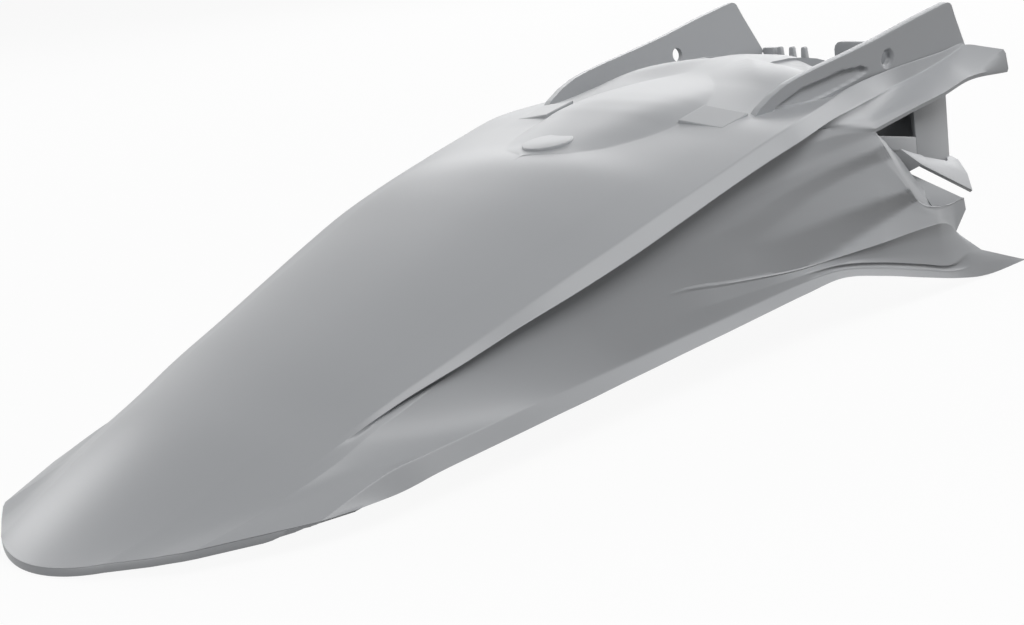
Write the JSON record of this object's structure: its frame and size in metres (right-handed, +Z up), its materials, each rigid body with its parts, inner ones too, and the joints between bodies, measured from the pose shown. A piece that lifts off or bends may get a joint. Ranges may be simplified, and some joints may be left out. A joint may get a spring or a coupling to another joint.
{
  "type": "motorcycle rear fender",
  "caption": "Long tapering rear fender shell for an off-road motorcycle, with a deck between sharp side lips, a bulged front dome, upright bolt ears, side wings and a comb along its front edge.",
  "frame": {"origin": "middle of the footprint, on the table that the fender rests on", "axes": "+X to the fender's right as seen from its tail, +Y from the tail to the front, +Z up"},
  "size_m": [0.23, 0.64, 0.1572],
  "materials": {
    "moulding": "satin, coloured right through"
  },
  "bodies": {
    "root": {"fender": "moulding"}
  },
  "joints": []
}
